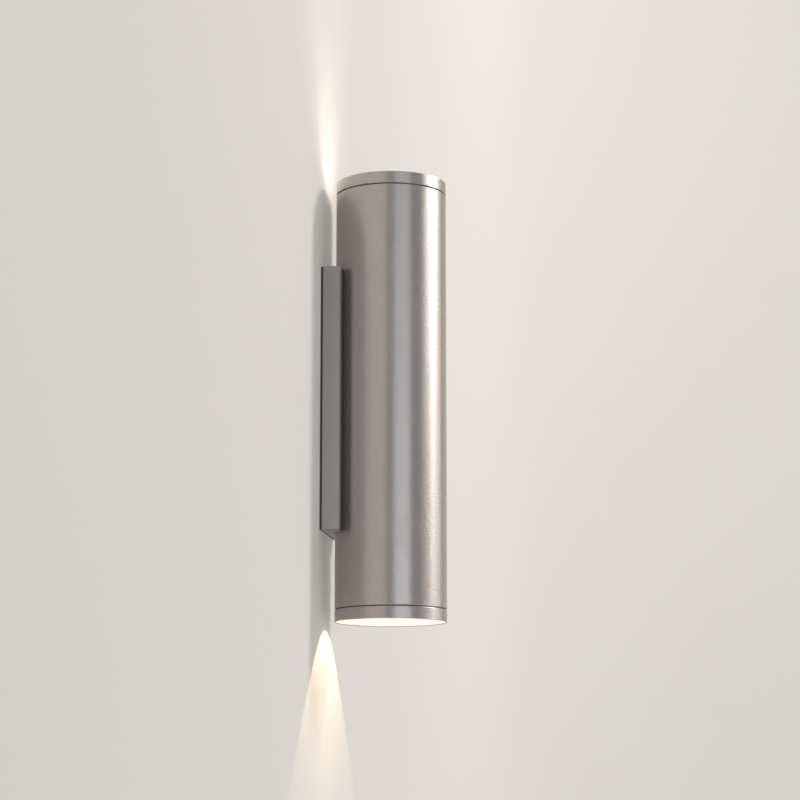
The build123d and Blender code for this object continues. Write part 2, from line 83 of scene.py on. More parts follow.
class Wire:
    """A shader socket that takes part in Python expressions, each of which adds its Math node."""

    def __init__(self, graph: "Graph", socket: bpy.types.NodeSocket) -> None:
        """Wraps one output socket of a graph."""
        self.graph = graph
        self.socket = socket

    def __add__(self, other: "Wire | float") -> "Wire":
        """This value plus another."""
        return self.graph.math("ADD", self, other)

    def __sub__(self, other: "Wire | float") -> "Wire":
        """This value less another."""
        return self.graph.math("SUBTRACT", self, other)

    def __rsub__(self, other: float) -> "Wire":
        """A number less this value."""
        return self.graph.math("SUBTRACT", other, self)

    def __mul__(self, other: "Wire | float") -> "Wire":
        """This value times another."""
        return self.graph.math("MULTIPLY", self, other)

    def __truediv__(self, other: "Wire | float") -> "Wire":
        """This value over another."""
        return self.graph.math("DIVIDE", self, other)

    def __pow__(self, other: float) -> "Wire":
        """This value to a power."""
        return self.graph.math("POWER", self, other)

    __radd__ = __add__
    __rmul__ = __mul__


class Graph:
    """A node tree that is written as expressions."""

    def __init__(self, tree: bpy.types.NodeTree) -> None:
        """Takes over a node tree and empties it."""
        self.tree = tree
        tree.nodes.clear()

    def node(
        self,
        kind: str,
        settings: Mapping[str, Any] | None = None,
        sockets: Mapping[int | str, Any] | None = None,
        out: int | str = 0,
    ) -> Wire:
        """Adds any node.

        Args:
            kind: The node's type name.
            settings: Its properties, which are set first.
            sockets: Values or wires for its inputs.
            out: The output that is returned.

        Returns:
            That output as a wire.
        """
        made = self.tree.nodes.new(kind)
        for name, value in (settings or {}).items():
            setattr(made, name, value)
        for key, value in (sockets or {}).items():
            self.feed(made.inputs[key], value)
        return Wire(self, made.outputs[out]) if made.outputs else Wire(self, made.inputs[0])

    def feed(self, socket: bpy.types.NodeSocket, value: Any) -> None:
        """Links a wire to an input, or writes a constant on it.

        Args:
            socket: The input.
            value: A wire, a number, a vector or a colour.
        """
        if isinstance(value, Wire):
            self.tree.links.new(value.socket, socket)
        elif socket.type == "RGBA" and len(value) == 3:
            socket.default_value = (*value, 1.0)
        else:
            socket.default_value = value

    def math(self, operation: str, first: Any, second: Any = 0.0) -> Wire:
        """One Math node of two values."""
        return self.node("ShaderNodeMath", {"operation": operation}, {0: first, 1: second})

    def parts(self, vector: Wire) -> tuple[Wire, Wire, Wire]:
        """The x, y and z of a vector."""
        split = self.node("ShaderNodeSeparateXYZ", None, {0: vector}).socket.node
        return tuple(Wire(self, socket) for socket in split.outputs)

    def place(self) -> Wire:
        """The surface point in the object's own frame, in metres."""
        return self.node("ShaderNodeTexCoord", out="Object")

    def stretched(self, scale: Sequence[float]) -> Wire:
        """The surface point times a factor on each axis."""
        return self.node(
            "ShaderNodeVectorMath",
            {"operation": "MULTIPLY"},
            {0: self.place(), 1: tuple(scale)},
        )

    def noise(
        self, vector: Wire, scale: float = 1.0, detail: float = 2.0, rough: float = 0.5
    ) -> Wire:
        """Fractal noise of a vector, about 0.5 on average.

        Args:
            vector: Where the noise is read.
            scale: Features per unit of the vector.
            detail: How many finer layers are added.
            rough: How strongly the finer layers count.

        Returns:
            The noise.
        """
        return self.node(
            "ShaderNodeTexNoise",
            None,
            {"Vector": vector, "Scale": scale, "Detail": detail, "Roughness": rough},
            "Fac",
        )

    def between(self, value: Wire, low: float, high: float) -> Wire:
        """A smooth step from 0 to 1 as a value goes from low to high."""
        return self.node(
            "ShaderNodeMapRange",
            {"interpolation_type": "SMOOTHSTEP"},
            {0: value, 1: low, 2: high, 3: 0.0, 4: 1.0},
        )

    def blended(self, share: Any, first: Any, second: Any, how: str = "MIX") -> Wire:
        """A colour that goes from the first to the second, or to their product, with a share of 0 to 1."""
        settings = {"data_type": "RGBA", "blend_type": how}
        return self.node("ShaderNodeMix", settings, {0: share, 6: first, 7: second}, 2)

    def mixed(self, share: Wire, first: Wire, second: Wire) -> Wire:
        """A shader that goes from the first to the second with a share of 0 to 1."""
        return self.node("ShaderNodeMixShader", None, {0: share, 1: first, 2: second})

    def bump(self, height: Wire, depth: float, strength: float = 1.0) -> Wire:
        """A normal from a height of 0 to 1 that stands for a depth in metres.

        Args:
            height: The height.
            depth: What a height of 1 stands for.
            strength: How much of the relief is used.

        Returns:
            The normal.
        """
        return self.node(
            "ShaderNodeBump", None, {"Height": height, "Distance": depth, "Strength": strength}
        )

    def surface(self, sockets: Mapping[str, Any]) -> Wire:
        """The main shader with constants and wires on its sockets."""
        return self.node("ShaderNodeBsdfPrincipled", None, sockets)

    def show(self, shader: Wire) -> None:
        """Sends a shader to the material's output."""
        self.node("ShaderNodeOutputMaterial", None, {"Surface": shader})


def tinted(colour: Colour, factor: float, warm: float = 0.0) -> Colour:
    """Makes a colour lighter or darker, and warmer or cooler.

    Args:
        colour: The colour.
        factor: What all of it is multiplied by.
        warm: The share that red gains and blue loses.

    Returns:
        The new colour, with no value over 1.
    """
    red, green, blue = colour
    return (
        min(1.0, red * factor * (1 + warm)),
        min(1.0, green * factor),
        min(1.0, blue * factor * (1 - warm)),
    )


# --- Finishes ---


@dataclass(frozen=True)
class Finish:
    """One finish of the light, named after its slot in the record."""

    slot: str
    colour: Colour
    roughness: float = 0.5

    def material(self) -> bpy.types.Material:
        """Makes the material.

        Returns:
            A new material that bears the slot's name.
        """
        made = bpy.data.materials.new(f"{self.slot}_finish")
        made.use_nodes = True
        graph = Graph(made.node_tree)
        graph.show(graph.surface(self.sockets(graph)))
        made.diffuse_color = (*self.colour, 1.0)
        return made

    def sockets(self, graph: Graph) -> dict[str, Any]:
        """What goes on the main shader's sockets.

        Args:
            graph: The material's node graph.

        Returns:
            Socket names with their constants or wires.
        """
        raise NotImplementedError


@dataclass(frozen=True)
class BrushedMetal(Finish):
    """Metal with fine brush lines, short broad strokes and faint hand marks.

    Frequencies are in features per metre, along the brush's run and across it.
    """

    brush: Brush = Brush.ROUND_TUBE
    lines: tuple[float, float] = (30.0, 3900.0)
    strokes: tuple[float, float] = (260.0, 1300.0)
    depth: float = 0.00014
    fine_share: float = 0.05
    contrast: tuple[float, float] = (0.28, 0.72)
    tone_swing: float = 0.035
    tone_warmth: float = 0.006
    streaks: float = 0.05
    mark_scale: float = 22.0
    mark_span: tuple[float, float] = (0.45, 0.75)
    mark_tone: float = 0.88
    mark_share: float = 0.12
    mark_dulling: float = 0.035
    anisotropy: float = 0.72

    def brushed(self, graph: Graph, run: tuple[float, float]) -> Wire:
        """Noise that is stretched along the brush's run.

        Args:
            graph: The material's node graph.
            run: Features per metre, along the run and across it.

        Returns:
            The noise.
        """
        along, across = run
        round_tube = self.brush is Brush.ROUND_TUBE
        scale = (along, along, across) if round_tube else (across, across, along)
        return graph.noise(graph.stretched(scale))

    def sockets(self, graph: Graph) -> dict[str, Any]:
        """See Finish.sockets. The strokes tilt the surface a little, so reflections get ragged edges."""
        fine, broad = self.brushed(graph, self.lines), self.brushed(graph, self.strokes)
        marks = graph.noise(graph.place(), self.mark_scale, 4.0, 0.6)
        mix = graph.between(fine * 0.5 + broad * 0.5, *self.contrast)
        height = fine * self.fine_share + broad * (1 - self.fine_share)
        worn = graph.between(marks, *self.mark_span)
        dark = tinted(self.colour, 1 - self.tone_swing, -self.tone_warmth)
        light = tinted(self.colour, 1 + self.tone_swing, self.tone_warmth)
        colour = graph.blended(mix, dark, light)
        return {
            "Base Color": graph.blended(
                worn * self.mark_share, colour, tinted(self.colour, self.mark_tone)
            ),
            "Metallic": 1.0,
            "Roughness": self.roughness + (mix - 0.5) * self.streaks + worn * self.mark_dulling,
            "Anisotropic": self.anisotropy,
            "Anisotropic Rotation": 0.25 if self.brush is Brush.ROUND_TUBE else 0.0,
            "Normal": graph.bump(height, self.depth),
        }


@dataclass(frozen=True)
class PlatedSheet(Finish):
    """Zinc-plated sheet: a faint crystal pattern under rolling lines."""

    crystal: float = 260.0
    rolling: tuple[float, float, float] = (1400.0, 1400.0, 30.0)
    cloud_scale: float = 45.0
    metal: float = 0.95
    dull_swing: float = 0.3
    relief: float = 0.00001

    def sockets(self, graph: Graph) -> dict[str, Any]:
        """See Finish.sockets."""
        cells = graph.node(
            "ShaderNodeTexVoronoi", None, {"Vector": graph.place(), "Scale": self.crystal}, "Color"
        )
        tone = graph.parts(cells)[0]
        rolled = graph.noise(graph.stretched(self.rolling), detail=3.0)
        cloud = graph.noise(graph.place(), self.cloud_scale, 3.0)
        mix = tone * 0.35 + rolled * 0.3 + cloud * 0.35
        dark, light = tinted(self.colour, 0.8, 0.02), tinted(self.colour, 1.12, -0.02)
        return {
            "Base Color": graph.blended(mix, dark, light),
            "Metallic": self.metal,
            "Roughness": self.roughness + (mix - 0.5) * self.dull_swing,
            "Normal": graph.bump(rolled * 0.6 + tone * 0.4, self.relief),
        }


@dataclass(frozen=True)
class TurnedMetal(Finish):
    """Small machined metal pieces: fine turning marks, dulled in patches."""

    marks: float = 3200.0
    dulled: float = 0.75
    patch_scale: float = 380.0
    patch_span: tuple[float, float] = (0.4, 0.7)
    relief: float = 0.000006

    def sockets(self, graph: Graph) -> dict[str, Any]:
        """See Finish.sockets."""
        fine = graph.noise(graph.place(), self.marks, 3.0)
        cloud = graph.noise(graph.place(), self.patch_scale, 4.0, 0.6)
        patches = graph.between(cloud, *self.patch_span)
        return {
            "Base Color": graph.blended(
                patches, self.colour, tinted(self.colour, self.dulled, 0.03)
            ),
            "Metallic": 1.0,
            "Roughness": self.roughness + (fine - 0.5) * 0.2 + patches * 0.12,
            "Normal": graph.bump(fine, self.relief),
        }


@dataclass(frozen=True)
class Moulded(Finish):
    """Plastics, rubber, foam and ceramic: a fine grain in relief and a slow drift of tone."""

    grain: float = 1800.0
    grain_depth: float = 0.000012
    cloud_scale: float = 60.0
    drift: float = 0.07
    sheen: float = 0.0
    scatter: float = 0.0
    scatter_reach: float = 0.001

    def sockets(self, graph: Graph) -> dict[str, Any]:
        """See Finish.sockets."""
        grain = graph.noise(graph.place(), self.grain, 2.0)
        cloud = graph.noise(graph.place(), self.cloud_scale, 4.0, 0.55)
        low, high = tinted(self.colour, 1 - self.drift, 0.01), tinted(self.colour, 1 + self.drift)
        return {
            "Base Color": graph.blended(cloud * 0.7 + grain * 0.3, low, high),
            "Roughness": self.roughness + (grain - 0.5) * 0.14 + (cloud - 0.5) * 0.1,
            "Sheen Weight": self.sheen,
            "Subsurface Weight": self.scatter,
            "Subsurface Scale": self.scatter_reach,
            "Normal": graph.bump(grain, self.grain_depth),
        }


@dataclass(frozen=True)
class GlowingGlass(Finish):
    """Frosted or moulded glass, lit from behind and brightest over the lamp."""

    glow: Colour = (1.0, 0.97, 0.90)
    strength: float = 1.0
    reach: float = 36.5
    falloff: float = 0.08
    frost: float = 2600.0
    relief: float = 0.00001

    def sockets(self, graph: Graph) -> dict[str, Any]:
        """See Finish.sockets. The distance from the tube's axis sets the glow."""
        x, y, _ = graph.parts(graph.place())
        off = y - AXIS_Y * MM
        distance = (x * x + off * off) ** 0.5 / (self.reach * MM)
        frost = graph.noise(graph.place(), self.frost, 2.0)
        level = 1.0 - distance * distance * self.falloff + (frost - 0.5) * 0.02
        return {
            "Base Color": graph.blended(frost, tinted(self.colour, 0.96), self.colour),
            "Roughness": self.roughness + (frost - 0.5) * 0.16,
            "Emission Color": graph.blended(level, (0.0, 0.0, 0.0), self.glow),
            "Emission Strength": self.strength,
            "IOR": 1.5,
            "Normal": graph.bump(frost, self.relief),
        }


@dataclass(frozen=True)
class StripedInsulation(Finish):
    """Insulation in two colours that wind round the lead."""

    second: Colour = (0.75, 0.62, 0.03)
    spacing: float = 3.6
    lean: float = 1.7
    edge: float = 0.15
    grain: float = 1500.0
    relief: float = 0.000008

    def sockets(self, graph: Graph) -> dict[str, Any]:
        """See Finish.sockets. The stripe is a sine of z plus x times the lean, with softened edges."""
        x, _, z = graph.parts(graph.place())
        wave = graph.math("SINE", (x * self.lean + z) * (2 * math.pi / (self.spacing * MM)))
        grain = graph.noise(graph.place(), self.grain, 2.0)
        stripe = graph.between(wave, -self.edge, self.edge)
        return {
            "Base Color": graph.blended(stripe, self.colour, self.second),
            "Roughness": self.roughness + (grain - 0.5) * 0.12,
            "Normal": graph.bump(grain, self.relief),
        }


FINISHES: tuple[Finish, ...] = (
    BrushedMetal("brushed_steel", (0.50, 0.468, 0.446), 0.34),
    BrushedMetal("box_steel", (0.48, 0.451, 0.422), 0.50, brush=Brush.UPRIGHT, lines=(14.0, 2300.0)),
    GlowingGlass("frosted_glass", (0.50, 0.49, 0.46), 0.42, strength=0.62, glow=(1.0, 0.975, 0.91)),
    GlowingGlass("lamp_optic", (0.80, 0.80, 0.78), 0.12, strength=1.4, reach=22.0, frost=900.0),
    Moulded("clear_silicone", (0.62, 0.62, 0.60), 0.38, scatter=0.5),
    Moulded("black_rubber", (0.130, 0.127, 0.124), 0.62, grain=2400.0, drift=0.25),
    Moulded("gasket_foam", (0.080, 0.078, 0.075), 0.9, grain=1500.0, grain_depth=0.00006, drift=0.3),
    PlatedSheet("zinc_plate", (0.50, 0.52, 0.55), 0.42),
    Moulded("ceramic", (0.80, 0.78, 0.72), 0.5, grain=900.0, grain_depth=0.00002, drift=0.05),
    TurnedMetal("brass", (0.78, 0.57, 0.26), 0.32),
    TurnedMetal("screw_steel", (0.56, 0.57, 0.58), 0.34, dulled=0.82),
    TurnedMetal("pin_metal", (0.66, 0.64, 0.60), 0.26, dulled=0.85),
    Moulded("lamp_white", (0.80, 0.79, 0.76), 0.34, drift=0.04, scatter=0.1),
    Moulded("terminal_white", (0.74, 0.73, 0.68), 0.46, drift=0.05, scatter=0.15),
    Moulded("lead_white", (0.76, 0.75, 0.70), 0.48, drift=0.05, sheen=0.1),
    StripedInsulation("lead_earth", (0.05, 0.28, 0.05), 0.5),
)


class FinishBook:
    """Makes each finish once and hands it out by name."""

    def __init__(self, finishes: Sequence[Finish]) -> None:
        """Makes all the materials."""
        self.made = {finish.slot: finish.material() for finish in finishes}
        self.slot_of = {part["node"]: part["material_slot"] for part in frame["record"]["subparts"]}

    def dress(self, node: str, finish: str | None = None) -> None:
        """Gives a CAD node its finish.

        Args:
            node: The node's name.
            finish: A finish in place of the one that its slot names.
        """
        shown = frame["nodes"][node]
        name = finish or self.slot_of[node]
        for slot in shown.material_slots:
            slot.material = self.made[name]
        LOG.info("%s is finished in %s", node, name)


# --- Meshes ---


def sheet_mesh(
    name: str, points: np.ndarray, wrap: tuple[bool, bool], keep: np.ndarray | None = None
) -> bpy.types.Object:
    """Makes an object from a grid of points.

    Each cell of the grid is one four-sided face. Where a direction wraps, the last row or column joins the
    first.

    Args:
        name: The object's name.
        points: Rows by columns by 3, in metres.
        wrap: Whether rows and columns close on themselves.
        keep: Cells to keep, as a mask of rows by columns of cells, or None for all.

    Returns:
        The object, at the origin, linked to the scene.
    """
    rows, columns = points.shape[:2]
    index = np.arange(rows * columns).reshape(rows, columns)
    index = np.concatenate([index, index[:1]]) if wrap[0] else index
    index = np.concatenate([index, index[:, :1]], axis=1) if wrap[1] else index
    quads = np.stack([index[:-1, :-1], index[:-1, 1:], index[1:, 1:], index[1:, :-1]], axis=-1)
    quads = quads.reshape(-1, 4) if keep is None else quads[keep]
    mesh = bpy.data.meshes.new(name)
    mesh.vertices.add(rows * columns)
    mesh.vertices.foreach_set("co", points.astype(np.float32).ravel())
    mesh.loops.add(quads.size)
    mesh.loops.foreach_set("vertex_index", quads.astype(np.int32).ravel())
    mesh.polygons.add(len(quads))
    mesh.polygons.foreach_set("loop_start", np.arange(0, quads.size, 4, dtype=np.int32))
    mesh.update(calc_edges=True)
    mesh.validate()
    made = bpy.data.objects.new(name, mesh)
    bpy.context.scene.collection.objects.link(made)
    return made


def turned_mesh(name: str, section: np.ndarray, end: End, columns: int) -> bpy.types.Object:
    """Makes a solid of revolution whose section starts and ends on the axis.

    Every inner point of the section becomes a ring, and the first and the last become one point each. Rings
    are joined by four-sided faces and the points by fans.

    Args:
        name: The object's name.
        section: Radius and height of each point, in millimetres from the tube's middle.
        end: The end of the tube that it belongs to.
        columns: Points in each ring.

    Returns:
        The object, at the origin, linked to the scene.
    """
    angle = np.linspace(0, 2 * np.pi, columns, endpoint=False)
    rings = section[1:-1]
    radius, height = rings[:, :1], np.broadcast_to(rings[:, 1:], (len(rings), columns))
    shell = np.stack([radius * np.cos(angle), radius * np.sin(angle), height], axis=-1)
    poles = np.array([[0, 0, section[0, 1]], [0, 0, section[-1, 1]]])
    points = in_tube(np.concatenate([shell.reshape(-1, 3), poles]), end)
    index = np.arange(len(rings) * columns).reshape(len(rings), columns)
    onward = np.roll(index, -1, axis=1)
    quads = np.stack([index[:-1], onward[:-1], onward[1:], index[1:]], axis=-1).reshape(-1, 4)
    first, last = len(rings) * columns, len(rings) * columns + 1
    start = np.stack([np.full(columns, first), onward[0], index[0]], axis=-1)
    finish = np.stack([np.full(columns, last), index[-1], onward[-1]], axis=-1)
    mesh = bpy.data.meshes.new(name)
    mesh.from_pydata(points.tolist(), [], quads.tolist() + start.tolist() + finish.tolist())
    mesh.update()
    made = bpy.data.objects.new(name, mesh)
    bpy.context.scene.collection.objects.link(made)
    return made


def in_tube(points: np.ndarray, end: End) -> np.ndarray:
    """Carries points drawn about the tube's own middle to one end of the tube.

    The upper end is only moved. The lower end is first turned half round the y axis, so x and z change sign.

    Args:
        points: Places in millimetres, with three values each in the last axis.
        end: The end of the tube.

    Returns:
        The places in the shared frame, in metres.
    """
    turned = points * np.array([end.value, 1.0, end.value])
    return (turned + np.array([0.0, AXIS_Y, TUBE_RISE])) * MM


# --- Sub-assemblies ---


@dataclass
class EndRing:
    """The turned ring of one end with its thread, lens and seals.

    Lengths are in millimetres and heights are from the tube's middle, outwards.
    """

    end: End
    radius: float = 37.5
    height: float = 150.0
    base: float = 142.0
    spigot_end: float = 132.8
    spigot_radius: float = 35.45
    bore: float = 33.05
    lip_radius: float = 36.5
    lip: float = 0.4
    pocket_radius: float = 36.85
    shoulder: float = 145.8
    edge: float = 0.3
    support: float = 0.15
    pitch: float = 1.5
    thread_depth: float = 0.55
    thread_run_out: float = 0.9
    thread_flatness: float = 1.6
    thread_rows: int = 14
    arc_points: int = 5
    columns: int = 240

    def outline(self) -> tuple[np.ndarray, np.ndarray]:
        """The ring's section.

        Returns:
            Radius and height of each point, and how deep the thread is cut there.
        """
        edge = self.edge
        span = np.arange(self.spigot_end + edge, self.base, self.pitch / self.thread_rows)
        spigot = np.stack([np.full_like(span, self.spigot_radius), span], axis=1)
        turn = np.linspace(0, np.pi / 2, self.arc_points)
        outer_low = np.stack(
            [self.radius - edge + edge * np.sin(turn), self.base + edge - edge * np.cos(turn)], axis=1
        )
        outer_high = np.stack(
            [self.radius - edge + edge * np.cos(turn), self.height - edge + edge * np.sin(turn)], axis=1
        )
        inset = edge + self.support
        wall = np.array([[self.radius, self.base + inset], [self.radius, self.height - inset]])
        round_lip = self.lip / 2
        lip = np.stack(
            [
                self.lip_radius + round_lip - round_lip * np.sin(turn),
                self.height - round_lip + round_lip * np.cos(turn),
            ],
            axis=1,
        )
        start = np.array([[self.bore, self.spigot_end], [self.spigot_radius - edge, self.spigot_end]])
        foot = np.array([[self.spigot_radius, self.base]])
        inside = np.array(
            [
                [self.lip_radius, self.height - self.lip],
                [self.pocket_radius, self.height - self.lip],
                [self.pocket_radius, self.shoulder],
                [self.bore, self.shoulder],
            ]
        )
        section = np.concatenate([start, spigot, foot, outer_low, wall, outer_high, lip, inside])
        cut = np.zeros(len(section))
        rise = np.clip((span - span[0]) / self.thread_run_out, 0, 1)
        fall = np.clip((span[-1] - span) / self.thread_run_out, 0, 1)
        cut[len(start) : len(start) + len(span)] = self.thread_depth * rise * fall
        return section, cut

    def surface(self) -> np.ndarray:
        """The section carried round the axis.

        The radius is the section's own, less the cut times a rounded wave. The wave's phase is the
        height over the pitch less the share of a turn, so that its crests climb one pitch in each turn.

        Returns:
            Points of the section by points round the axis by 3, in millimetres.
        """
        section, cut = self.outline()
        angle = np.linspace(0, 2 * np.pi, self.columns, endpoint=False)
        phase = section[:, 1, None] / self.pitch - angle[None, :] / (2 * np.pi)
        flat = self.thread_flatness
        wave = 0.5 + 0.5 * np.tanh(flat * np.cos(2 * np.pi * phase)) / np.tanh(flat)
        radius = section[:, 0, None] - cut[:, None] * wave
        height = np.broadcast_to(section[:, 1, None], radius.shape)
        return np.stack([radius * np.cos(angle), radius * np.sin(angle), height], axis=-1)

    def build(self, book: FinishBook) -> None:
        """Makes the threaded ring in place of its CAD node and dresses the two seals.

        Args:
            book: The finishes.
        """
        points = in_tube(self.surface(), self.end)
        made = sheet_mesh(f"{self.end.label}_ring_turned", points, (True, True))
        made.data.shade_smooth()
        made.data.set_sharp_from_angle(angle=SHARP_ANGLE)
        made.data.materials.append(book.made["brushed_steel"])
        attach(made, f"{self.end.label}_ring")
        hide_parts(f"{self.end.label}_end_ring")
        for piece in ("lens_seal", "joint_seal"):
            book.dress(f"{self.end.label}_{piece}")
        LOG.info("%s has %d faces", made.name, len(made.data.polygons))


@dataclass
class Lens:
    """The frosted disc in one end ring: flat, with rounded edges. Lengths are in millimetres."""

    end: End
    radius: float = 36.75
    front: float = 149.6
    thickness: float = 3.0
    edge: float = 0.3
    arc_points: int = 6
    columns: int = 240

    def section(self) -> np.ndarray:
        """Half the disc's section, from the middle of its back round to the middle of its front.

        The edges are quarter circles, and the flats have rows at even steps of the radius.

        Returns:
            Radius and height of each point, in millimetres.
        """
        turn = np.linspace(0, np.pi / 2, self.arc_points)
        across, along = self.edge * np.sin(turn), self.edge * np.cos(turn)
        rim, back = self.radius - self.edge, self.front - self.thickness
        low = np.stack([rim + across, back + self.edge - along], axis=1)
        high = np.stack([rim + across[::-1], self.front - self.edge + along[::-1]], axis=1)
        inner = np.append(np.linspace(0, rim, 5)[:-1], rim - self.edge)
        under = np.stack([inner, np.full_like(inner, back)], axis=1)
        over = np.stack([inner[::-1], np.full_like(inner, self.front)], axis=1)
        return np.concatenate([under, low, high, over])

    def build(self, book: FinishBook) -> None:
        """Makes the lens in place of its CAD node.

        Args:
            book: The finishes.
        """
        made = turned_mesh(f"{self.end.label}_lens_disc", self.section(), self.end, self.columns)
        made.data.shade_smooth()
        made.data.set_sharp_from_angle(angle=SHARP_ANGLE)
        made.data.materials.append(book.made["frosted_glass"])
        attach(made, f"{self.end.label}_ring")
        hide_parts(f"{self.end.label}_lens")
        LOG.info("%s has %d faces", made.name, len(made.data.polygons))


@dataclass
class LampUnit:
    """The bracket, holder and lamp behind one lens."""

    end: End
    pieces: tuple[str, ...] = (
        "lamp_bracket",
        "lamp_holder",
        "holder_contacts",
        "holder_screws",
        "lamp_body",
        "lamp_optic",
        "lamp_pins",
        "lamp_leads",
    )

    def build(self, book: FinishBook) -> None:
        """Dresses the unit's CAD nodes."""
        for piece in self.pieces:
            book.dress(f"{self.end.label}_{piece}")


@dataclass
class Body:
    """The main tube and the screws that hold it."""

    nodes: tuple[str, ...] = ("tube_body", "tube_screws")

    def build(self, book: FinishBook) -> None:
        """Dresses the tube and its screws."""
        for node in self.nodes:
            book.dress(node)


@dataclass
class BackBox:
    """The slim box on the wall with its bracket, gasket, cable entry and cover screws."""

    plain: tuple[str, ...] = ("wall_bracket", "wall_gasket", "cable_grommet", "cover_screws")

    def build(self, book: FinishBook) -> None:
        """Dresses the box with upright brush lines and the rest by their slots.

        Args:
            book: The finishes.
        """
        book.dress("back_box", "box_steel")
        for node in self.plain:
            book.dress(node)


@dataclass
class Wiring:
    """The terminal block, the earth point and the earth lead."""

    nodes: tuple[str, ...] = (
        "terminal_block",
        "terminal_screws",
        "block_screws",
        "earth_lug",
        "earth_washer",
        "earth_screw",
        "earth_lead",
    )

    def build(self, book: FinishBook) -> None:
        """Dresses the wiring's CAD nodes."""
        for node in self.nodes:
            book.dress(node)


# --- Studio ---


@dataclass(frozen=True)
class SoftLight:
    """A soft panel that faces the object. Azimuth 0 is straight into the room, + towards +x."""

    name: str
    azimuth: float
    elevation: float
    distance: float
    width: float
    height: float
    power: float
    colour: Colour
    on_wall: bool = False

    def build(self, all_but_studio: bpy.types.Collection) -> None:
        """Hangs the panel. Its width and height are angles in degrees, as seen from the object.

        Args:
            all_but_studio: What a panel that shows in the metal alone may light.
        """
        data = bpy.data.lights.new(self.name, "AREA")
        data.shape = "RECTANGLE"
        data.size = 2 * self.distance * math.tan(math.radians(self.width / 2))
        data.size_y = 2 * self.distance * math.tan(math.radians(self.height / 2))
        data.energy, data.color = self.power, self.colour
        made = bpy.data.objects.new(self.name, data)
        turn, rise = math.radians(self.azimuth), math.radians(self.elevation)
        out = Vector((math.sin(turn) * math.cos(rise), -math.cos(turn) * math.cos(rise), math.sin(rise)))
        made.location = out * self.distance
        made.rotation_euler = out.to_track_quat("Z", "Y").to_euler()
        made.visible_camera = False
        if not self.on_wall:
            made.light_linking.receiver_collection = all_but_studio
        bpy.context.scene.collection.objects.link(made)


@dataclass(frozen=True)
class Beam:
    """The light of one lamp on the wall: a cone with its point on the tube's axis."""

    end: End
    point: float
    half_angle: float
    softness: float
    power: float
    colour: Colour = (1.0, 0.71, 0.44)
    source_radius: float = 0.001

    def build(self, lit: bpy.types.Collection) -> None:
        """Places the cone's light, which stands for light that has left the lens and casts no shadow.

        Args:
            lit: The only things that it lights.
        """
        data = bpy.data.lights.new(f"{self.end.label}_beam", "SPOT")
        data.energy, data.color = self.power, self.colour
        data.spot_size = math.radians(2 * self.half_angle)
        data.spot_blend = self.softness
        data.shadow_soft_size = self.source_radius
        data.use_shadow = False
        made = bpy.data.objects.new(data.name, data)
        made.location = (0, AXIS_Y * MM, self.point * MM)
        made.rotation_euler = (0 if self.end is End.LOWER else math.pi, 0, 0)
        made.light_linking.receiver_collection = lit
        bpy.context.scene.collection.objects.link(made)


